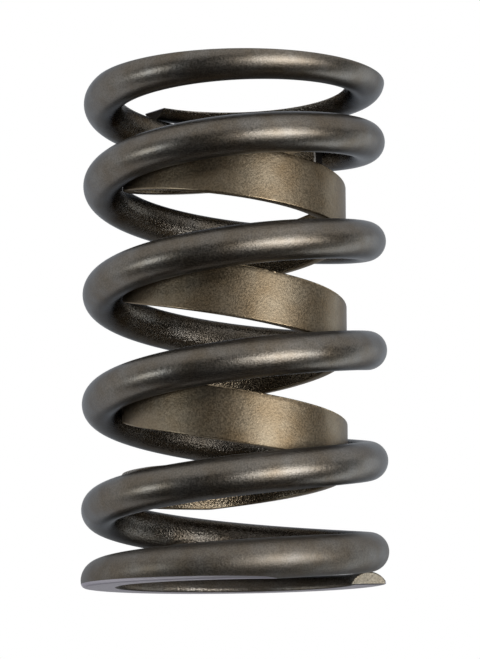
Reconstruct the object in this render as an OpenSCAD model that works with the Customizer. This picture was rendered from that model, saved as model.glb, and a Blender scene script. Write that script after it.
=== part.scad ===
// Valve spring with a flat damper, at its free height.
// Two wound pieces: a round-wire spring, and a flat-wire ribbon inside it that winds the other way.
// The spring stands on its lower ground end, with the origin at the bottom centre. Its axis is +Z, and
// both pieces lean a little from it about the middle of the height, as a real spring is never quite square.

/* [Outer spring] */
// Outside diameter of the spring
outside_d = 32; // [27:0.5:40]
// Diameter of the round wire
wire_d = 4.1; // [3.4:0.1:4.6]
// Free height between the two ground ends
free_height = 53.2; // [49:0.1:62]
// Turns of wire from tip to tip
coil_turns = 6.35; // [6:0.01:7]
// Thickness that grinding leaves at the lower tip of the wire
lower_tip_t = 1.35; // [1:0.05:1.8]
// Thickness that grinding leaves at the upper tip of the wire
upper_tip_t = 1.05; // [1:0.05:1.8]
// Gap between a tip of the wire and the turn that it closes on
turn_gap = 0.03; // [0.02:0.01:0.3]
// Turns over which the pitch of a closed end grows to its full value
closing_turns = 1.62; // [1.2:0.02:1.8]
// Share of a turn at the start of that growth, cut off where the tip is
closing_cut = 0.27; // [0:0.01:0.4]
// Turns from a tip to where the pitch of the middle turns starts to open
closed_turns = 1.52; // [1.3:0.02:1.8]
// Turns over which the pitch opens
opening_turns = 0.36; // [0.2:0.02:1]
// Direction of the lower tip about the axis, in degrees
lower_tip_angle = 3.5; // [-180:0.5:180]
// Lean of the coil from square with its ground ends, in degrees, towards +X at the top
coil_lean = 0.73; // [0:0.01:1.5]

/* [Damper] */
// Thickness of the flat wire, across the axis
ribbon_t = 1.15; // [0.8:0.05:1.6]
// Width of the flat wire, along the axis
ribbon_w = 5.4; // [4.4:0.1:6.4]
// Pitch of the damper's middle turns
ribbon_pitch = 12.73; // [11:0.01:15]
// Pitch of the damper at its two ends
ribbon_end_pitch = 7; // [6.8:0.1:10.5]
// Turns over which the damper's pitch opens at each end
ribbon_opening_turns = 1.05; // [0.5:0.05:1.5]
// Width that grinding leaves at each tip of the ribbon
ribbon_tip_w = 2.8; // [1.6:0.1:4]
// Clearance all round between the damper and the outer spring
damper_clearance = 0.1; // [0.08:0.01:0.3]
// Height of the damper's lower ground end above the seat
damper_lift = 8.5; // [4:0.1:12]
// Depth of the damper's upper ground end below the top of the spring
damper_drop = 5.5; // [3:0.1:9]
// Height by which the damper's turns sit higher on one side
damper_cant = 0.38; // [0:0.02:0.6]
// Direction of the damper's higher side about the axis, in degrees
cant_angle = 94; // [-180:1:180]
// Direction of the damper's upper tip about the axis, in degrees
upper_ribbon_angle = 35; // [-180:1:180]

/* [Hidden] */
// Rings in one turn of the round wire, and sides round it
wire_rings = 36;
wire_sides = 20;
// Rings in one turn of the ribbon, and how far its skin reaches past both of its walls
ribbon_rings = 45;
skin_spare = 0.8;

wire_r = wire_d / 2;
coil_r = outside_d / 2 - wire_r;
lean_rate = tan(coil_lean);
// Height of the wire's centre above the seat at its two tips, with the lean's share taken out
coil_start = lower_tip_t - wire_r - lean_lift(0);
coil_end = free_height - upper_tip_t + wire_r - lean_lift(coil_turns);
// The first turn rises by one wire and its gap, so that it closes on the tip
closed_pitch = (wire_d + turn_gap) / closing_run(1);
coil_rise = coil_end - coil_start;
active_pitch = closed_pitch + (coil_rise / 2 - closed_pitch * closing_run(coil_turns / 2))
    / (coil_turns / 2 - closed_turns - opening_turns / 2);

damper_r = outside_d / 2 - wire_d - damper_clearance;
damper_bore_r = damper_r - ribbon_t;
damper_bottom = damper_lift;
damper_top = free_height - damper_drop;
// What the closer pitch of one end takes off the damper's rise
ribbon_end_loss = (ribbon_pitch - ribbon_end_pitch) * ribbon_opening_turns / 2;
ribbon_fall = damper_top - damper_bottom - 2 * ribbon_tip_w + ribbon_w;
damper_turns = (ribbon_fall + 2 * ribbon_end_loss) / ribbon_pitch;

// Smooth start from 0 to 1, and the distance run while a rate follows it
function eased(u) = let (c = min(max(u, 0), 1)) c * c * (3 - 2 * c);
function eased_run(u) = let (c = min(max(u, 0), 1)) c * c * c * (1 - c / 2) + max(u - 1, 0);

// Turns at full closed pitch that would rise as far as the closing end does in s turns from its tip
function closing_run(s) = closing_turns
    * (eased_run((s + closing_cut) / closing_turns) - eased_run(closing_cut / closing_turns));

// Direction of the wire about the axis, s turns from the lower tip, and what the lean lifts it by there
function wire_turn(s) = lower_tip_angle + 360 * s;
function lean_lift(s) = -lean_rate * coil_r * cos(wire_turn(s));

// Height of the wire's centre, s turns from the lower tip; the upper half mirrors the lower one
function end_rise(s) = closed_pitch * closing_run(s)
    + (active_pitch - closed_pitch) * opening_turns * eased_run((s - closed_turns) / opening_turns);
function wire_z(s) = lean_lift(s) + (s < coil_turns / 2
    ? coil_start + end_rise(s)
    : coil_end - end_rise(coil_turns - s));

// Pitch of the wire, s turns from the lower tip
function end_pitch(s) = closed_pitch * eased((s + closing_cut) / closing_turns)
    + (active_pitch - closed_pitch) * eased((s - closed_turns) / opening_turns);
function wire_pitch(s) = end_pitch(min(s, coil_turns - s))
    + 2 * PI * coil_r * lean_rate * sin(wire_turn(s));

// A point moved sideways with its height, as the lean asks
function leaned(p) = [p[0] + lean_rate * (p[2] - free_height / 2), p[1], p[2]];

// One point on the wire's round section, which is square to the helix
function wire_point(s, a) =
    let (
        turn = wire_turn(s),
        slope = atan2(wire_pitch(s), 2 * PI * coil_r),
        out = coil_r + wire_r * cos(a),
        up = wire_r * sin(a)
    )
    leaned([
        out * cos(turn) + up * sin(slope) * sin(turn),
        out * sin(turn) - up * sin(slope) * cos(turn),
        wire_z(s) + up * cos(slope)
    ]);

// Fall of the ribbon's lower edge, s turns from an end, and its height s turns below the upper tip
function ribbon_end_fall(s) = ribbon_end_pitch * s
    + (ribbon_pitch - ribbon_end_pitch) * ribbon_opening_turns * eased_run(s / ribbon_opening_turns);
function ribbon_z(s) = damper_top - ribbon_tip_w - (s < damper_turns / 2
    ? ribbon_end_fall(s)
    : ribbon_fall - ribbon_end_fall(damper_turns - s));

// One corner of the ribbon's section; the ground ends cut its edges off level
function ribbon_point(s, r, upper) =
    let (
        turn = upper_ribbon_angle + 360 * s,
        edge = upper ? min(ribbon_z(s) + ribbon_w, damper_top) : max(ribbon_z(s), damper_bottom)
    )
    leaned([r * cos(turn), r * sin(turn), edge + damper_cant * r / damper_r * cos(turn - cant_angle)]);

// Solid skinned over rings of points that run anticlockwise, seen from the first ring's free side
module skin(rings) {
    sides = len(rings[0]);
    last = len(rings) - 1;
    polyhedron(
        points = [for (ring = rings) each ring],
        faces = [
            [for (j = [0:sides - 1]) j],
            for (i = [0:last - 1], j = [0:sides - 1]) let (
                k = (j + 1) % sides,
                here = i * sides,
                next = here + sides
            ) each [[here + k, here + j, next + j], [here + k, next + j, next + k]],
            [for (j = [0:sides - 1]) last * sides + sides - 1 - j]
        ]
    );
}

// Wire as it is wound, before its ends are ground
module wound_wire() {
    steps = round(coil_turns * wire_rings);
    skin([for (i = [0:steps]) let (s = i < steps ? i / wire_rings : coil_turns) [
        for (j = [0:wire_sides - 1]) wire_point(s, -360 * j / wire_sides)
    ]]);
}

// Block of stock that grinding takes off one end, from the height z up
module ground_off(z) {
    translate([-outside_d, -outside_d, z]) cube([2 * outside_d, 2 * outside_d, 2 * wire_d]);
}

module outer_spring() {
    color([0.42, 0.40, 0.37]) difference() {
        wound_wire();
        ground_off(-2 * wire_d);
        ground_off(free_height);
    }
}

// Helical band with level ends, a little wider than the ribbon's walls
module band() {
    steps = ceil(damper_turns * ribbon_rings);
    inner = damper_bore_r - skin_spare;
    outer = damper_r + skin_spare;
    skin([for (i = [0:steps]) let (s = damper_turns * i / steps) [
        ribbon_point(s, inner, false),
        ribbon_point(s, inner, true),
        ribbon_point(s, outer, true),
        ribbon_point(s, outer, false)
    ]]);
}

module damper() {
    color([0.56, 0.51, 0.43]) intersection() {
        translate([0, 0, free_height / 2]) rotate([0, coil_lean, 0]) difference() {
            cylinder(r = damper_r, h = free_height, center = true, $fn = 180);
            cylinder(r = damper_bore_r, h = free_height + 2, center = true, $fn = 180);
        }
        band();
    }
}

outer_spring();
damper();
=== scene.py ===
"""Valve spring with a flat damper: the looks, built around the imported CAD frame.

The round-wire spring and the flat-wire damper are wound again at a finer pitch of points than the
CAD nodes have, by the same rules, and each replaces its node. Lengths are in metres.
"""

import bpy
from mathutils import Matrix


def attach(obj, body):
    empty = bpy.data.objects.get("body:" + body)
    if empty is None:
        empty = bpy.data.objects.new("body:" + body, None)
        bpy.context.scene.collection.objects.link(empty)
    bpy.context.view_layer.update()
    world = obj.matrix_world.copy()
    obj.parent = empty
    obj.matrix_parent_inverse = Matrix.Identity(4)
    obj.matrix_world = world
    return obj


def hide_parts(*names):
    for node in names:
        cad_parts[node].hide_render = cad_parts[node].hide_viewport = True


bl_info = {
    "name": "Valve spring with flat damper",
    "version": (1, 0, 0),
    "blender": (4, 5, 0),
    "location": "View3D > Sidebar > Valve Spring",
    "description": "Winds a round-wire valve spring with ground ends and the flat-wire damper inside it",
    "category": "Add Mesh",
}

import math

import bpy
import numpy as np
from bpy.props import FloatProperty, FloatVectorProperty, IntProperty, PointerProperty
from mathutils import Matrix, Vector

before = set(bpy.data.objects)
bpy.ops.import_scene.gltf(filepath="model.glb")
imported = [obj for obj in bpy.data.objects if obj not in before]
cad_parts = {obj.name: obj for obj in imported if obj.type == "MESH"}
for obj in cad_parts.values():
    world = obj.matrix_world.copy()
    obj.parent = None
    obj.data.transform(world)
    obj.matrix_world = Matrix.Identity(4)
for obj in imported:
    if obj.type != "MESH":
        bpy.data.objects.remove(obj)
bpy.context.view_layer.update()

SPRING_NODE = "outer_spring"
DAMPER_NODE = "damper"
BODY = "root"

# Places of the materials in the round wire's list, and in the flat wire's
WIRE, GROUND, CUT, PAINTED_SHADE_CUT = range(4)
FACE, EDGE, SHEARED, INSIDE, BURR_HIGHLIGHT, UPPER_EDGE_HIGHLIGHT = range(6)

# Rings beyond the steps of the turns: one that closes them, and one for the bevel of each cut end
EXTRA_RINGS = 3

# Points of a ring
SIDE_POINTS = 30
FLAT_POINTS = 8
RIBBON_FACE_POINTS = 14
BEND_STEPS = (0.25, 0.5, 0.75)
ROUND_DEGREES = (0, 30, 60, 90)
SHARP_ANGLE = math.radians(30)
TINY = 1e-9

# Ground ends and broken edges of the wire; a cut is half the angle that a ground flat spans
LEAST_CUT = math.radians(1.5)
FULL_BREAK_CUT = 0.25
LEAST_BREAK = 0.1
WIDEST_BREAK = 0.3
UPPER_SHARE = 0.4
CAP_SHARE = 0.25
CORNER_CURVE = 1.2

# Peened finish: features per metre, depth of the dimples, where the steel lies in shelter and is painted with
# shade, and where it is worn
DIMPLE_SCALE = 4000
GRIT_SCALE = 6200
STAIN_SCALE = 330
SHELTERED_DIMPLE = 0.000052
OPEN_DIMPLE = 0.0000125
SHELTER_AND_PAINTED_SHADE_DEPTH = 0.0007
OPEN_DEPTH = 0.0019
WORN_BELOW = 0.0065
FULLY_WORN_BELOW = 0.0035

# Ground finish: the scratches' features per metre, how far they are drawn out, their direction and depth
SCRATCH_SCALE = 320
SCRATCH_STRETCH = 40
SCRATCH_ANGLE = math.radians(24)
SCRATCH_DEPTH = 0.00003

# Colours that the steels show at grazing angles
WIRE_RIM = (0.57, 0.62, 0.69)
RIBBON_RIM = (0.56, 0.60, 0.66)
GROUND_RIM = (0.52, 0.51, 0.56)
PLAIN_RIM = (0.6, 0.6, 0.6)
# Darker rim for the sheared ends: painted shade
SHEARED_PAINTED_SHADE_RIM = (0.3, 0.3, 0.3)
# Bright rims that go with the painted highlights on the ribbon's upper edge and on the burr
UPPER_EDGE_HIGHLIGHT_RIM = (0.8, 0.8, 0.8)
BURR_HIGHLIGHT_RIM = (1.0, 1.0, 1.0)
# Share of the rim colour kept in shelter: painted shade that darkens the reflections at grazing angles
PAINTED_SHADE_RIM_SHARE = 0.3
# Gain on the ribbon's colour for the painted highlight along its upper edge
UPPER_EDGE_HIGHLIGHT_GAIN = 2.2

# Studio
FLOOR_SIDE = 0.7
FLOOR_FADE = (0.14, 0.33)
FLOOR_Z = -0.0001
TABLE_CARD_Z = -0.45
TABLE_CARD_R = 2.0
TABLE_CARD_POINTS = 36
SCREEN_AZIMUTHS = (-46, 24, 94)
SCREEN_DISTANCE = 0.55
SCREEN_Z = -0.13
SCREEN_SIZE = (0.78, 0.65)
BLACK_SCREEN = (0.014, 0.014, 0.014)
DARK_CARD = (0.02, 0.02, 0.02)
GREY_CARD = (0.50, 0.50, 0.50)
WARM_WHITE = (1.0, 0.985, 0.955)
COOL_WHITE = (0.90, 0.96, 1.0)
WHITE = (1.0, 1.0, 1.0)
ROOM_GREY = (0.85, 0.85, 0.85)
LAMP_TARGET = Vector((0, 0, 0.0267))

# Camera; the photograph is 659 pixels high, and the lens was fitted in its pixels
PHOTO_HEIGHT = 659
LENS_PIXELS = 2611
SENSOR_HEIGHT = 36
CAMERA_PLACE = Vector((0, -0.2716, -0.0142))
CAMERA_PITCH = 0.1502
CAMERA_YAW = -0.0021
CAMERA_ROLL = 0.0152


# Sizes and colours that a user would change

class SpringSizes(bpy.types.PropertyGroup):
    """Sizes of the round-wire spring"""

    outside_d: FloatProperty(
        name="Outside diameter", description="Outside diameter of the spring",
        default=0.032, min=0.01, unit="LENGTH", subtype="DISTANCE", precision=5)
    wire_d: FloatProperty(
        name="Wire diameter", description="Diameter of the round wire",
        default=0.0041, min=0.001, unit="LENGTH", subtype="DISTANCE", precision=5)
    free_height: FloatProperty(
        name="Free height", description="Height between the two ground ends",
        default=0.0532, min=0.02, unit="LENGTH", subtype="DISTANCE", precision=5)
    turns: FloatProperty(
        name="Turns", description="Turns of wire from tip to tip", default=6.35, min=4)
    lower_tip: FloatProperty(
        name="Lower tip thickness", description="Thickness that grinding leaves at the lower tip",
        default=0.00135, min=0.0002, unit="LENGTH", subtype="DISTANCE", precision=5)
    upper_tip: FloatProperty(
        name="Upper tip thickness", description="Thickness that grinding leaves at the upper tip",
        default=0.00105, min=0.0002, unit="LENGTH", subtype="DISTANCE", precision=5)
    turn_gap: FloatProperty(
        name="Turn gap", description="Gap between a tip and the turn that it closes on",
        default=0.00003, min=0.0, unit="LENGTH", subtype="DISTANCE", precision=6)
    closing_turns: FloatProperty(
        name="Closing turns", description="Turns over which the pitch of a closed end grows",
        default=1.62, min=1.0)
    closing_cut: FloatProperty(
        name="Closing cut", description="Share of a turn at the start of that growth, cut off at the tip",
        default=0.27, min=0.0)
    closed_turns: FloatProperty(
        name="Closed turns", description="Turns from a tip to where the middle pitch starts to open",
        default=1.52, min=1.0)
    opening_turns: FloatProperty(
        name="Opening turns", description="Turns over which the pitch opens", default=0.36, min=0.1)
    tip_angle: FloatProperty(
        name="Lower tip direction", description="Direction of the lower tip about the axis",
        default=math.radians(3.5), unit="ROTATION", subtype="ANGLE")
    lean: FloatProperty(
        name="Lean", description="Lean of the coil from square with its ground ends, towards +X at the top",
        default=math.radians(0.73), unit="ROTATION", subtype="ANGLE")
    edge_break: FloatProperty(
        name="Edge break", description="Width of the broken edge round the ground faces",
        default=0.00040, min=0.0, unit="LENGTH", subtype="DISTANCE", precision=6)
    rings: IntProperty(
        name="Rings per turn", description="Rings of points in one turn of wire", default=168, min=24)


class DamperSizes(bpy.types.PropertyGroup):
    """Sizes of the flat-wire damper"""

    ribbon_t: FloatProperty(
        name="Ribbon thickness", description="Thickness of the flat wire, across the axis",
        default=0.00115, min=0.0003, unit="LENGTH", subtype="DISTANCE", precision=5)
    ribbon_w: FloatProperty(
        name="Ribbon width", description="Width of the flat wire, along the axis",
        default=0.0054, min=0.001, unit="LENGTH", subtype="DISTANCE", precision=5)
    pitch: FloatProperty(
        name="Pitch", description="Pitch of the middle turns",
        default=0.01273, min=0.002, unit="LENGTH", subtype="DISTANCE", precision=5)
    end_pitch: FloatProperty(
        name="End pitch", description="Pitch at the two ends",
        default=0.007, min=0.002, unit="LENGTH", subtype="DISTANCE", precision=5)
    opening_turns: FloatProperty(
        name="Opening turns", description="Turns over which the pitch opens at each end",
        default=1.05, min=0.1)
    tip_w: FloatProperty(
        name="Tip width", description="Width that grinding leaves at each tip of the ribbon",
        default=0.0028, min=0.0005, unit="LENGTH", subtype="DISTANCE", precision=5)
    clearance: FloatProperty(
        name="Clearance", description="Clearance between the damper and the round wire",
        default=0.0001, min=0.0, unit="LENGTH", subtype="DISTANCE", precision=6)
    lift: FloatProperty(
        name="Lift", description="Height of the lower ground end above the seat",
        default=0.0085, min=0.0, unit="LENGTH", subtype="DISTANCE", precision=5)
    drop: FloatProperty(
        name="Drop", description="Depth of the upper ground end below the top of the spring",
        default=0.0055, min=0.0, unit="LENGTH", subtype="DISTANCE", precision=5)
    cant: FloatProperty(
        name="Cant", description="Height by which the turns sit higher on one side",
        default=0.00038, min=0.0, unit="LENGTH", subtype="DISTANCE", precision=6)
    cant_angle: FloatProperty(
        name="Cant direction", description="Direction of the higher side about the axis",
        default=math.radians(94), unit="ROTATION", subtype="ANGLE")
    tip_angle: FloatProperty(
        name="Upper tip direction", description="Direction of the upper tip about the axis",
        default=math.radians(35), unit="ROTATION", subtype="ANGLE")
    corner_fall: FloatProperty(
        name="Corner fall", description="Depth by which the upper corner of the lower end is dressed off",
        default=0.0010, min=0.0, unit="LENGTH", subtype="DISTANCE", precision=6)
    corner_run: FloatProperty(
        name="Corner run", description="Length along the ribbon over which that corner is dressed",
        default=0.018, min=0.0002, unit="LENGTH", subtype="DISTANCE", precision=5)
    edge_round: FloatProperty(
        name="Edge round", description="Radius of the ribbon's long edges",
        default=0.00016, min=0.00002, unit="LENGTH", subtype="DISTANCE", precision=6)
    rings: IntProperty(
        name="Rings per turn", description="Rings of points in one turn of ribbon", default=150, min=24)


class SteelColours(bpy.types.PropertyGroup):
    """Colours of the steel and the studio"""

    wire: FloatVectorProperty(
        name="Peened wire", description="Colour of the shot-peened round wire",
        default=(0.125, 0.112, 0.096), subtype="COLOR", min=0, max=1)
    ribbon: FloatVectorProperty(
        name="Peened ribbon", description="Colour of the shot-peened flat wire",
        default=(0.158, 0.126, 0.086), subtype="COLOR", min=0, max=1)
    # Painted shade: the flat wire's inner face, facing the axis, is painted darker than its outer face
    ribbon_inside_painted_shade: FloatVectorProperty(
        name="Ribbon inside", description="Colour of the flat wire's inner face, which nothing rubs bright",
        default=(0.135, 0.112, 0.082), subtype="COLOR", min=0, max=1)
    # Painted shade: near black, for the flat wire's sheared ends and the round wire's upper cut end, which
    # lie in shade
    sheared: FloatVectorProperty(
        name="Sheared end", description="Colour of the flat wire's sheared ends",
        default=(0.020, 0.018, 0.017), subtype="COLOR", min=0, max=1)
    # Painted highlight: the bright line along the flat wire's upper sheared end
    burr_highlight: FloatVectorProperty(
        name="Cut burr", description="Colour of the bright edge at the flat wire's upper sheared end",
        default=(0.62, 0.60, 0.57), subtype="COLOR", min=0, max=1)
    ground: FloatVectorProperty(
        name="Ground face", description="Colour of the ground end faces",
        default=(0.34, 0.33, 0.36), subtype="COLOR", min=0, max=1)
    cut: FloatVectorProperty(
        name="Cut face", description="Colour of the cut end faces",
        default=(0.20, 0.185, 0.155), subtype="COLOR", min=0, max=1)
    floor: FloatVectorProperty(
        name="Floor", description="Colour of the studio floor",
        default=(0.86, 0.86, 0.86), subtype="COLOR", min=0, max=1)


class ValveSpring(bpy.types.PropertyGroup):
    """Everything that the panel shows"""

    spring: PointerProperty(type=SpringSizes)
    damper: PointerProperty(type=DamperSizes)
    colours: PointerProperty(type=SteelColours)


# How the wire and the ribbon run

def eased(u):
    """Smooth start from 0 to 1."""
    c = np.clip(u, 0, 1)
    return c * c * (3 - 2 * c)


def eased_run(u):
    """Distance run while a rate follows the smooth start."""
    c = np.clip(u, 0, 1)
    return c ** 3 * (1 - c / 2) + np.maximum(u - 1, 0)


def wire_run(size, s):
    """Height of the wire's centre and its slope, s turns from the lower tip.

    From each tip the pitch grows until the second turn lies on the first, and then opens to the pitch of
    the middle turns, which takes up what is left of the free height.
    """

    def closing_run(u):
        """Rise of a closed end, u turns from its tip, at a full pitch of 1."""
        start = eased_run(size.closing_cut / size.closing_turns)
        return size.closing_turns * (eased_run((u + size.closing_cut) / size.closing_turns) - start)

    middle_r = (size.outside_d - size.wire_d) / 2
    rate = math.tan(size.lean)

    def turn(u):
        """Direction about the axis."""
        return size.tip_angle + 2 * math.pi * u

    def lean_lift(u):
        """Height by which the lean lifts the wire on one side and lowers it on the other."""
        return -rate * middle_r * np.cos(turn(u))

    start = size.lower_tip - size.wire_d / 2 - lean_lift(0)
    end = size.free_height - size.upper_tip + size.wire_d / 2 - lean_lift(size.turns)
    half = size.turns / 2
    closed = (size.wire_d + size.turn_gap) / closing_run(1)
    active = closed + ((end - start) / 2 - closed * closing_run(half)) / (
        half - size.closed_turns - size.opening_turns / 2)

    def end_rise(u):
        """Rise u turns from a tip, through the closed turns and into the middle ones."""
        opened = eased_run((u - size.closed_turns) / size.opening_turns)
        return closed * closing_run(u) + (active - closed) * size.opening_turns * opened

    near = np.minimum(s, size.turns - s)
    pitch = closed * eased((near + size.closing_cut) / size.closing_turns) + (active - closed) * eased(
        (near - size.closed_turns) / size.opening_turns)
    pitch = pitch + 2 * math.pi * middle_r * rate * np.sin(turn(s))
    z = lean_lift(s) + np.where(s < half, start + end_rise(s), end - end_rise(size.turns - s))
    return z, np.arctan2(pitch, 2 * math.pi * middle_r)


def leaned(spring, rings):
    """Rings moved sideways with their height, as the lean asks."""
    rings[..., 0] += math.tan(spring.lean) * (rings[..., 2] - spring.free_height / 2)
    return rings


def ribbon_run(spring, size):
    """Turns of the damper, its outer radius, and a function for its lower and upper edge.

    The function takes the turns below the upper tip and the distance from the axis.
    """
    low = size.lift
    high = spring.free_height - size.drop
    loss = (size.pitch - size.end_pitch) * size.opening_turns / 2
    fall = high - low - 2 * size.tip_w + size.ribbon_w
    turns = (fall + 2 * loss) / size.pitch
    outer = spring.outside_d / 2 - spring.wire_d - size.clearance

    def end_fall(t):
        """Height run t turns from a tip."""
        opened = eased_run(t / size.opening_turns)
        return size.end_pitch * t + (size.pitch - size.end_pitch) * size.opening_turns * opened

    def edges(s, r):
        """Heights of the lower and the upper edge, cut level at both ends and canted."""
        z = high - size.tip_w - np.where(s < turns / 2, end_fall(s), fall - end_fall(turns - s))
        turn = size.tip_angle + 2 * math.pi * s
        cant = size.cant * r / outer * np.cos(turn - size.cant_angle)
        near = np.clip(1 - (turns - s) * 2 * math.pi * outer / size.corner_run, 0, 1)
        top = np.minimum(z + size.ribbon_w, high) - size.corner_fall * near ** CORNER_CURVE
        return np.maximum(z, low) + cant, top + cant

    return turns, outer, edges


# Meshes

def skin_mesh(name, rings, face_slots, cap_slots, materials):
    """Object skinned over rings of points (ring, point, xyz), closed by a face at each end."""
    count, sides = rings.shape[:2]
    points = rings.reshape(-1, 3)
    i = np.arange(count - 1)[:, None] * sides
    j = np.arange(sides)[None, :]
    k = (j + 1) % sides
    quads = np.stack([i + j, i + sides + j, i + sides + k, i + k], -1).reshape(-1, 4)
    first = list(range(sides))
    last = [(count - 1) * sides + n for n in reversed(range(sides))]
    mesh = bpy.data.meshes.new(name)
    mesh.from_pydata(points.tolist(), [], quads.tolist() + [first, last])
    slots = np.concatenate([face_slots.reshape(-1), cap_slots]).astype(np.int32)
    mesh.polygons.foreach_set("material_index", slots)
    mesh.polygons.foreach_set("use_smooth", np.ones(len(mesh.polygons), dtype=bool))
    mesh.set_sharp_from_angle(angle=SHARP_ANGLE)
    mesh.validate()
    mesh.update()
    obj = bpy.data.objects.new(name, mesh)
    bpy.context.scene.collection.objects.link(obj)
    for material in materials:
        mesh.materials.append(material)
    return obj


def turned_round(rings, face_slots):
    """Rings and their faces' materials in the other order, where the faces would point inwards."""
    return rings[:, ::-1], np.roll(face_slots[:, ::-1], -1, axis=1)


def wire_rings(size):
    """Rings of the round wire, ground flat at both ends, and the material of each face between them.

    The points of a ring run from the lower flat up the outer side, over the upper flat, down the inner side
    and across the lower flat. The first and last ring are a little smaller, for the bevel round a cut end.
    """
    wire_r = size.wire_d / 2
    coil_r = size.outside_d / 2 - wire_r
    count = int(round(size.turns * size.rings)) + EXTRA_RINGS
    cap_break = size.edge_break * CAP_SHARE
    cap = cap_break / (2 * math.pi * coil_r)
    s = np.concatenate([[0], np.linspace(cap, size.turns - cap, count - 2), [size.turns]])
    z, slope = wire_run(size, s)
    turn = size.tip_angle + 2 * math.pi * s
    reach = wire_r * np.cos(slope)
    quarter = math.pi / 2

    def cut_angle(height):
        """Half the angle of the flat that a plane at this height from the wire's centre leaves."""
        return np.maximum(quarter - np.arcsin(np.clip(height / reach, -1, 1)), LEAST_CUT)

    def break_angle(cut, share):
        """Angle that a broken edge takes off the round side, less where little is ground off."""
        growth = np.clip((cut - LEAST_CUT) / FULL_BREAK_CUT, LEAST_BREAK, 1)
        return share * size.edge_break / wire_r * growth

    def at(angle):
        """Points of the round wire in one direction from its centre; a quarter turn is up."""
        out = coil_r + wire_r * np.cos(angle)
        up = wire_r * np.sin(angle)
        return np.stack([out * np.cos(turn) + up * np.sin(slope) * np.sin(turn),
                         out * np.sin(turn) - up * np.sin(slope) * np.cos(turn),
                         z + up * np.cos(slope)], -1)

    columns = []

    def arc(start, end):
        """Round side of the wire between two directions."""
        for u in np.linspace(0, 1, SIDE_POINTS):
            columns.append(at(start + (end - start) * u))

    def bend(a, corner, b):
        """Curve from one point to another that rounds the corner between them."""
        for u in BEND_STEPS:
            columns.append((1 - u) ** 2 * a + 2 * u * (1 - u) * corner + u ** 2 * b)

    def flat(start, end, broken):
        """Ground flat between two directions, with a broken edge on both sides."""
        a, b = at(start), at(end)
        width = np.maximum(np.linalg.norm(b - a, axis=1), TINY)
        edge = np.minimum(broken * wire_r / width, WIDEST_BREAK)[:, None]
        first, last = a + (b - a) * edge, b + (a - b) * edge
        bend(at(start - broken), a, first)
        for u in np.linspace(0, 1, FLAT_POINTS):
            columns.append(first + (last - first) * u)
        bend(last, b, at(end + broken))

    low_cut, high_cut = cut_angle(z), cut_angle(size.free_height - z)
    low_break, high_break = break_angle(low_cut, 1), break_angle(high_cut, UPPER_SHARE)
    arc(low_cut - quarter + low_break, quarter - high_cut - high_break)
    flat(quarter - high_cut, quarter + high_cut, high_break)
    arc(quarter + high_cut + high_break, 3 * quarter - low_cut - low_break)
    flat(3 * quarter - low_cut, 3 * quarter + low_cut, low_break)
    rings = np.stack(columns, 1)
    rings[:, :, 2] = np.clip(rings[:, :, 2], 0, size.free_height)
    for end in (0, -1):
        middle = np.array([coil_r * math.cos(turn[end]), coil_r * math.sin(turn[end]), z[end]])
        rings[end] = middle + (rings[end] - middle) * (1 - cap_break / wire_r)
        rings[end, :, 2] = np.clip(rings[end, :, 2], cap_break, size.free_height - cap_break)

    slots = np.full((count - 1, rings.shape[1]), WIRE, dtype=np.int32)
    first_top = SIDE_POINTS + len(BEND_STEPS)
    first_bottom = 2 * SIDE_POINTS + FLAT_POINTS + 3 * len(BEND_STEPS)
    top = range(first_top, first_top + FLAT_POINTS)
    bottom = range(first_bottom, rings.shape[1])
    just_ground = LEAST_CUT * 1.01
    slots[np.ix_(high_cut[1:] > just_ground, top)] = GROUND
    slots[0] = CUT
    slots[np.ix_(low_cut[1:] > just_ground, bottom)] = GROUND
    return leaned(size, rings), slots


def ribbon_rings(spring, size):
    """Rings of the flat wire with round edges and level ends, and the material of each face.

    The points of a ring run up the outer face, over the upper edge, down the inner face and round the lower
    edge. The first and last ring are a little smaller, as at the wire's ends.
    """
    turns, outer, edges = ribbon_run(spring, size)
    inner = outer - size.ribbon_t
    e = size.edge_round
    count = int(round(turns * size.rings)) + EXTRA_RINGS
    cap = e / (2 * math.pi * outer)
    s = np.concatenate([[0], np.linspace(cap, turns - cap, count - 2), [turns]])
    turn = size.tip_angle + 2 * math.pi * s
    low, high = edges(s, outer)
    rise = edges(s, inner)[0] - low
    columns, slots = [], []

    def put(r, z, slot):
        """Add one point to each ring, and the material of the face that follows it."""
        columns.append(np.stack([r * np.cos(turn), r * np.sin(turn), z], -1))
        slots.append(slot)

    corner = np.radians(ROUND_DEGREES)
    steps = np.linspace(0, 1, RIBBON_FACE_POINTS)
    for t in steps[:-1]:
        put(outer, low + e + (high - low - 2 * e) * t, FACE)
    for c in corner:
        put(outer - e + e * math.cos(c), high - e + e * math.sin(c), UPPER_EDGE_HIGHLIGHT)
    for c in corner[::-1]:
        put(inner + e - e * math.cos(c), high - e + e * math.sin(c) + rise, EDGE)
    for t in steps[::-1][1:-1]:
        put(inner, low + e + (high - low - 2 * e) * t + rise, INSIDE)
    for c in corner:
        put(inner + e - e * math.cos(c), low + e - e * math.sin(c) + rise, EDGE)
    for c in corner[::-1]:
        put(outer - e + e * math.cos(c), low + e - e * math.sin(c), EDGE)
    rings = np.stack(columns, 1)
    for end in (0, -1):
        middle = rings[end].mean(0)
        out = rings[end] - middle
        length = np.maximum(np.linalg.norm(out, axis=1), TINY)
        rings[end] = middle + out * (1 - e / length)[:, None]

    slots = np.tile(np.array(slots, dtype=np.int32), (count - 1, 1))
    slots[0], slots[-1] = BURR_HIGHLIGHT, EDGE
    return leaned(spring, rings), slots


# Materials

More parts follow.
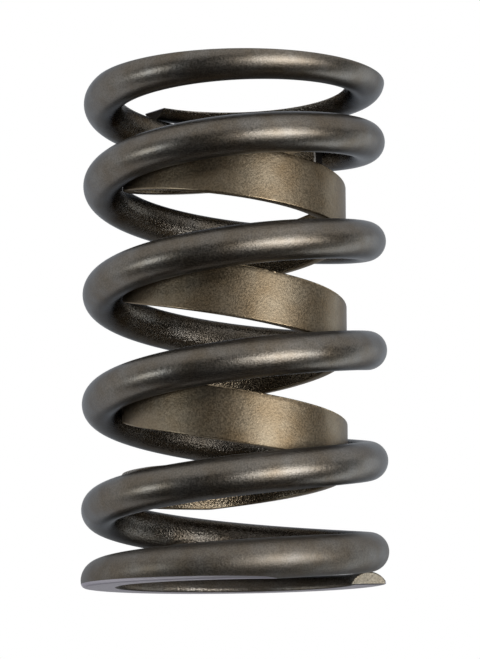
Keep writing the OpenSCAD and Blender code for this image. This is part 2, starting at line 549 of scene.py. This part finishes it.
class Nodes:
    """Short way to write the nodes of a material or of the world."""

    def __init__(self, owner, output):
        self.owner = owner
        owner.use_nodes = True
        self.tree = owner.node_tree
        self.tree.nodes.clear()
        self.out = self.tree.nodes.new(output)

    def add(self, kind, inputs=None, **settings):
        """New node with its settings, and with a value or a link for each input."""
        node = self.tree.nodes.new(kind)
        for key, value in settings.items():
            setattr(node, key, value)
        for key, value in (inputs or {}).items():
            if isinstance(value, bpy.types.NodeSocket):
                self.tree.links.new(value, node.inputs[key])
            else:
                node.inputs[key].default_value = value
        return node

    def maths(self, operation, *values, **settings):
        """Result of one sum."""
        return self.add("ShaderNodeMath", dict(enumerate(values)), operation=operation, **settings).outputs[0]

    def noise(self, place, scale, detail, roughness):
        """Noise that lies on the object."""
        return self.add("ShaderNodeTexNoise", {
            "Vector": place, "Scale": scale, "Detail": detail, "Roughness": roughness}).outputs["Fac"]

    def spread(self, value, low, high, to_low, to_high):
        """Value brought from one range to another and held within it."""
        return self.add("ShaderNodeMapRange", {
            "Value": value, "From Min": low, "From Max": high,
            "To Min": to_low, "To Max": to_high}).outputs[0]

    def ramp(self, value, stops):
        """Colour that runs through stops of a place and a grey or a colour."""
        node = self.add("ShaderNodeValToRGB", {"Fac": value})
        for element, (place, shade) in zip(node.color_ramp.elements, stops):
            element.position = place
            colour = shade if isinstance(shade, tuple) else (shade, shade, shade)
            element.color = (*colour, 1)
        return node.outputs["Color"]

    def mixed(self, factor, a, b, blend_type="MIX"):
        """Mix of two colours; a plain number stands for its grey."""
        a, b = (c if isinstance(c, (bpy.types.NodeSocket, tuple)) else (c, c, c, 1) for c in (a, b))
        return self.add("ShaderNodeMix", {"Factor": factor, 6: a, 7: b}, data_type="RGBA",
                        blend_type=blend_type).outputs[2]

    def finish(self, shader):
        """Link the shader to the output, and give back the material or the world."""
        self.tree.links.new(shader.outputs[0], self.out.inputs["Surface"])
        return self.owner


def material_nodes(name):
    """Nodes of a new, empty material."""
    return Nodes(bpy.data.materials.new(name), "ShaderNodeOutputMaterial")


def times(colour, k):
    """Colour made darker or lighter, and held at white."""
    return tuple(min(1.0, c * k) for c in colour)


def peened_steel(name, colour, rim, grain=1.0, roughness=0.36, shelter_and_painted_shade=False, worn_roughness=0.0):
    """Shot-peened steel: small overlapping dimples, a fine sparkle and slow stains.

    Sheltered steel, which nothing rubs, has deeper dimples, and it is painted with shade: a darker colour
    and darker reflections at grazing angles. Where shelter_and_painted_shade gives two distances from the
    axis, it ends between them. Steel that rubs on the seat is rougher.
    """
    n = material_nodes(name)
    place = n.add("ShaderNodeTexCoord").outputs["Object"]
    changes = isinstance(shelter_and_painted_shade, tuple)
    if changes:
        flat = n.add("ShaderNodeVectorMath", {0: place, 1: (1, 1, 0)}, operation="MULTIPLY").outputs[0]
        away = n.add("ShaderNodeVectorMath", {0: flat}, operation="LENGTH").outputs["Value"]

    def by_place(near, far):
        """Value of steel in shelter with painted shade, of open steel, or one that changes with the place."""
        if changes:
            return n.spread(away, *shelter_and_painted_shade, near, far)
        return near if shelter_and_painted_shade else far

    dimple = n.noise(place, DIMPLE_SCALE * grain, 1.0, 0.5)
    grit = n.noise(place, GRIT_SCALE * grain, 1.0, 0.55)
    stain = n.noise(place, STAIN_SCALE, 4.0, 0.55)
    height = n.maths("MULTIPLY_ADD", dimple, 0.9, grit)
    bump = n.add("ShaderNodeBump", {
        "Strength": 1.0, "Distance": by_place(SHELTERED_DIMPLE, OPEN_DIMPLE), "Height": height})

    brown = (colour[0] * 0.88, colour[1] * 0.82, colour[2] * 0.74)
    grey = (colour[0] * 1.12, colour[1] * 1.16, colour[2] * 1.22)
    tint = n.ramp(stain, [(0.32, brown), (0.68, grey)])
    tint = n.mixed(1.0, tint, n.ramp(grit, [(0.34, 0.80), (0.64, 1.18)]), "MULTIPLY")
    # Painted shade: in shelter the colour is made a little darker
    tint = n.mixed(1.0, tint, by_place(0.95, 1.0), "MULTIPLY")

    rough = n.spread(grit, 0.3, 0.7, by_place(roughness - 0.13, roughness - 0.04),
                     by_place(roughness - 0.06, roughness + 0.05))
    if worn_roughness:
        up = n.add("ShaderNodeSeparateXYZ", {"Vector": place}).outputs["Z"]
        rough = n.maths("ADD", rough, n.spread(up, WORN_BELOW, FULLY_WORN_BELOW, 0.0, worn_roughness))

    # Painted shade: in shelter the reflections at grazing angles are darker
    painted_shade_rim = (*times(rim, PAINTED_SHADE_RIM_SHARE), 1)
    if changes:
        edge_tint = n.mixed(by_place(1.0, 0.0), (*rim, 1), painted_shade_rim)
    else:
        edge_tint = by_place(painted_shade_rim, (*rim, 1))
    return n.finish(n.add("ShaderNodeBsdfPrincipled", {
        "Base Color": tint, "Metallic": 1.0, "Roughness": rough, "Specular Tint": edge_tint,
        "Normal": bump.outputs[0]}))


def ground_steel(name, colour, rim):
    """Ground end face: fine scratches that run straight across, and a few deeper ones."""
    n = material_nodes(name)
    place = n.add("ShaderNodeTexCoord").outputs["Object"]
    across = n.add("ShaderNodeMapping", {
        "Vector": place, "Rotation": (0, 0, SCRATCH_ANGLE), "Scale": (1, SCRATCH_STRETCH, 1)}).outputs[0]
    lines = n.noise(across, SCRATCH_SCALE, 5.0, 0.65)
    bump = n.add("ShaderNodeBump", {"Strength": 0.35, "Distance": SCRATCH_DEPTH, "Height": lines})
    tint = n.ramp(lines, [(0.3, times(colour, 0.8)), (0.7, times(colour, 1.15))])
    return n.finish(n.add("ShaderNodeBsdfPrincipled", {
        "Base Color": tint, "Metallic": 1.0, "Roughness": 0.34, "Specular Tint": (*rim, 1),
        "Normal": bump.outputs[0]}))


def flat_shade(name, colour):
    """Plain matt colour for the studio's cards."""
    n = material_nodes(name)
    return n.finish(n.add("ShaderNodeBsdfDiffuse", {"Color": (*colour, 1)}))


def one_sided_floor(name, colour):
    """Floor that is plain from above, clear from below for the low camera, and clear far out."""
    n = material_nodes(name)
    back = n.add("ShaderNodeNewGeometry").outputs["Backfacing"]
    place = n.add("ShaderNodeTexCoord").outputs["Object"]
    away = n.add("ShaderNodeVectorMath", {0: place}, operation="LENGTH").outputs["Value"]
    hidden = n.maths("MAXIMUM", back, n.spread(away, *FLOOR_FADE, 0.0, 1.0))
    pale = n.add("ShaderNodeBsdfDiffuse", {"Color": (*colour, 1)})
    clear = n.add("ShaderNodeBsdfTransparent")
    return n.finish(n.add("ShaderNodeMixShader", {"Fac": hidden, 1: pale.outputs[0], 2: clear.outputs[0]}))


# Studio

def around(azimuth, elevation):
    """Direction from the spring; azimuth 0 is the camera's side, positive to the right."""
    a, e = math.radians(azimuth), math.radians(elevation)
    return Vector((math.sin(a) * math.cos(e), -math.cos(a) * math.cos(e), math.sin(e)))


def add_sheet(name, points, material):
    """Object of one flat face."""
    mesh = bpy.data.meshes.new(name)
    mesh.from_pydata(points, [], [tuple(range(len(points)))])
    mesh.materials.append(material)
    sheet = bpy.data.objects.new(name, mesh)
    bpy.context.scene.collection.objects.link(sheet)
    return sheet


def rectangle(width, height):
    """Corners of a level rectangle about its middle."""
    w, h = width / 2, height / 2
    return [(-w, -h, 0), (w, -h, 0), (w, h, 0), (-w, h, 0)]


def add_card(name, points, shade):
    """Card that shades the steel's reflections and never shows itself."""
    card = add_sheet(name, points, flat_shade(name + "_shade", shade))
    card.visible_camera = False
    card.visible_shadow = False
    return card


def add_screens():
    """Dark upright cards in front of the spring, below its middle."""
    middle = Vector((0, 0, SCREEN_Z))
    for n, azimuth in enumerate(SCREEN_AZIMUTHS):
        card = add_card(f"card_screen_{n + 1}", rectangle(*SCREEN_SIZE), BLACK_SCREEN)
        way = around(azimuth, 0)
        card.location = middle + way * SCREEN_DISTANCE
        card.rotation_euler = (-way).to_track_quat("Z", "Y").to_euler()


def add_table_card(name, start, end, shade):
    """Level card under the spring, a sector between two azimuths."""
    rim = [around(a, 0) * TABLE_CARD_R for a in np.linspace(start, end, TABLE_CARD_POINTS)]
    card = add_card(name, [(0, 0, 0)] + [tuple(p) for p in rim], shade)
    card.location.z = TABLE_CARD_Z


def add_floor(colour):
    """Plain pale floor just under the spring."""
    floor = add_sheet("floor", rectangle(FLOOR_SIDE, FLOOR_SIDE), one_sided_floor("pale_floor", colour))
    floor.location.z = FLOOR_Z
    floor.visible_glossy = False
    floor.visible_diffuse = False
    floor.visible_shadow = False


def add_lamp(name, azimuth, elevation, distance, wide, high, level, colour):
    """Area lamp aimed at the spring's middle; wide and high are degrees as seen from there."""
    way = around(azimuth, elevation)
    light = bpy.data.lights.new(name, "AREA")
    light.shape = "RECTANGLE"
    light.size = 2 * distance * math.tan(math.radians(wide / 2))
    light.size_y = 2 * distance * math.tan(math.radians(high / 2))
    light.energy = math.pi * light.size * light.size_y * level
    light.color = colour
    lamp = bpy.data.objects.new(name, light)
    bpy.context.scene.collection.objects.link(lamp)
    lamp.location = LAMP_TARGET + way * distance
    lamp.rotation_euler = (-way).to_track_quat("-Z", "Y").to_euler()
    lamp.visible_camera = False


def add_camera():
    """Camera at the photograph's place, a little below the spring's lower end."""
    across = Vector((math.cos(CAMERA_YAW), math.sin(CAMERA_YAW), 0))
    ahead = Vector((-math.sin(CAMERA_YAW) * math.cos(CAMERA_PITCH),
                    math.cos(CAMERA_YAW) * math.cos(CAMERA_PITCH), math.sin(CAMERA_PITCH)))
    over = across.cross(ahead)
    right = across * math.cos(CAMERA_ROLL) - over * math.sin(CAMERA_ROLL)
    up = across * math.sin(CAMERA_ROLL) + over * math.cos(CAMERA_ROLL)
    data = bpy.data.cameras.new("photo_camera")
    data.sensor_fit = "VERTICAL"
    data.sensor_height = SENSOR_HEIGHT
    data.lens = LENS_PIXELS * SENSOR_HEIGHT / PHOTO_HEIGHT
    data.clip_start = 0.01
    data.clip_end = 20
    camera = bpy.data.objects.new("photo_camera", data)
    bpy.context.scene.collection.objects.link(camera)
    turned = Matrix((right, up, -ahead)).transposed().to_4x4()
    camera.matrix_world = Matrix.Translation(CAMERA_PLACE) @ turned
    bpy.context.scene.camera = camera


def white_world():
    """White wherever the camera, a reflection or clear glass looks, and plain grey light elsewhere."""
    n = Nodes(bpy.data.worlds.new("white_studio"), "ShaderNodeOutputWorld")
    path = n.add("ShaderNodeLightPath").outputs
    seen = n.maths("ADD", path["Is Camera Ray"], path["Is Glossy Ray"])
    seen = n.maths("ADD", seen, path["Is Transmission Ray"], use_clamp=True)
    colour = n.mixed(seen, (*ROOM_GREY, 1), (*WHITE, 1))
    bpy.context.scene.world = n.finish(n.add("ShaderNodeBackground", {"Color": colour, "Strength": 1}))


# Operators

class VALVESPRING_OT_outer_spring(bpy.types.Operator):
    """Wind the round-wire spring with its closed and ground ends"""

    bl_idname = "valve_spring.outer_spring"
    bl_label = "Wind outer spring"

    def execute(self, context):
        props = context.scene.valve_spring
        colours = props.colours
        inner_r = props.spring.outside_d / 2 - props.spring.wire_d
        # Painted shade, with deeper dimples, on the coil's inner side, between these distances from the axis
        shelter_and_painted_shade = (inner_r + SHELTER_AND_PAINTED_SHADE_DEPTH, inner_r + OPEN_DEPTH)
        materials = [
            peened_steel("peened_wire", colours.wire, WIRE_RIM, shelter_and_painted_shade=shelter_and_painted_shade, worn_roughness=0.12),
            ground_steel("ground_face", colours.ground, GROUND_RIM),
            peened_steel("cut_face", colours.cut, PLAIN_RIM, grain=0.7, roughness=0.42),
            # Painted shade: the upper cut end of the round wire is near black
            peened_steel("painted_shade_cut_face", colours.sheared, SHEARED_PAINTED_SHADE_RIM, grain=0.8),
        ]
        rings, slots = turned_round(*wire_rings(props.spring))
        obj = skin_mesh("wound_spring", rings, slots, (CUT, PAINTED_SHADE_CUT), materials)
        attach(obj, BODY)
        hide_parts(SPRING_NODE)
        return {"FINISHED"}


class VALVESPRING_OT_damper(bpy.types.Operator):
    """Wind the flat-wire damper with its level ends"""

    bl_idname = "valve_spring.damper"
    bl_label = "Wind damper"

    def execute(self, context):
        props = context.scene.valve_spring
        colours = props.colours
        # Painted highlight: the ribbon's upper edge is painted brighter than the ribbon
        bright = times(colours.ribbon, UPPER_EDGE_HIGHLIGHT_GAIN)
        materials = [
            peened_steel("peened_ribbon", colours.ribbon, RIBBON_RIM, grain=0.9, roughness=0.40),
            peened_steel("ribbon_edge", colours.ribbon, PLAIN_RIM, grain=0.9),
            # Painted shade: the sheared ends are near black
            peened_steel("sheared_end_painted_shade", colours.sheared, SHEARED_PAINTED_SHADE_RIM, grain=0.9, roughness=0.5),
            # Painted shade on the ribbon's inner face: a darker colour and darker reflections at grazing
            # angles
            peened_steel("ribbon_inside_painted_shade", colours.ribbon_inside_painted_shade, PLAIN_RIM, shelter_and_painted_shade=True),
            # Painted highlight on the bevel round the upper sheared end
            peened_steel("cut_burr_highlight", colours.burr_highlight, BURR_HIGHLIGHT_RIM, roughness=0.30),
            peened_steel("upper_edge_highlight", bright, UPPER_EDGE_HIGHLIGHT_RIM, grain=0.6, shelter_and_painted_shade=True),
        ]
        rings, slots = ribbon_rings(props.spring, props.damper)
        obj = skin_mesh("wound_damper", rings, slots, (SHEARED, SHEARED), materials)
        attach(obj, BODY)
        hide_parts(DAMPER_NODE)
        return {"FINISHED"}


class VALVESPRING_OT_stage(bpy.types.Operator):
    """Set up the floor, the cards, the lamps, the white world and the camera"""

    bl_idname = "valve_spring.stage"
    bl_label = "Set up the studio"

    def execute(self, context):
        context.scene.view_settings.view_transform = "Standard"
        white_world()
        add_floor(context.scene.valve_spring.colours.floor)
        add_table_card("card_below", -93, 125, DARK_CARD)
        add_table_card("card_below_back", 125, 201, GREY_CARD)
        add_screens()
        add_lamp("key_lamp", azimuth=37.6, elevation=-11.8, distance=0.35, wide=56, high=12, level=8.6,
                 colour=WARM_WHITE)
        add_lamp("key_fill", azimuth=37.6, elevation=-11.8, distance=0.36, wide=30.7, high=46.5, level=4.2,
                 colour=WARM_WHITE)
        add_lamp("left_lamp", azimuth=-63.6, elevation=-10.5, distance=0.35, wide=17.6, high=12, level=11.0,
                 colour=COOL_WHITE)
        add_lamp("right_lamp", azimuth=116.5, elevation=-20, distance=0.35, wide=25.3, high=68, level=2.36,
                 colour=COOL_WHITE)
        add_lamp("top_lamp", azimuth=36, elevation=45, distance=0.5, wide=24, high=24, level=0.8,
                 colour=WHITE)
        add_camera()
        return {"FINISHED"}


OPERATORS = (VALVESPRING_OT_outer_spring, VALVESPRING_OT_damper, VALVESPRING_OT_stage)


class VALVESPRING_PT_panel(bpy.types.Panel):
    """Sizes, colours and steps of the valve spring"""

    bl_label = "Valve Spring"
    bl_idname = "VALVESPRING_PT_panel"
    bl_space_type = "VIEW_3D"
    bl_region_type = "UI"
    bl_category = "Valve Spring"

    def draw(self, context):
        props = context.scene.valve_spring
        for title, group in (("Outer spring", props.spring), ("Damper", props.damper),
                             ("Colours", props.colours)):
            box = self.layout.box()
            box.label(text=title)
            for name in group.__annotations__:
                box.prop(group, name)
        for operator in OPERATORS:
            self.layout.operator(operator.bl_idname)


CLASSES = (SpringSizes, DamperSizes, SteelColours, ValveSpring) + OPERATORS + (VALVESPRING_PT_panel,)


def register():
    """Make the classes and the scene's settings known to Blender"""
    for cls in CLASSES:
        bpy.utils.register_class(cls)
    bpy.types.Scene.valve_spring = PointerProperty(type=ValveSpring)


def unregister():
    """Take them out again"""
    del bpy.types.Scene.valve_spring
    for cls in reversed(CLASSES):
        bpy.utils.unregister_class(cls)


def main():
    register()
    bpy.ops.valve_spring.outer_spring()
    bpy.ops.valve_spring.damper()
    bpy.ops.valve_spring.stage()


if __name__ == "__main__":
    main()
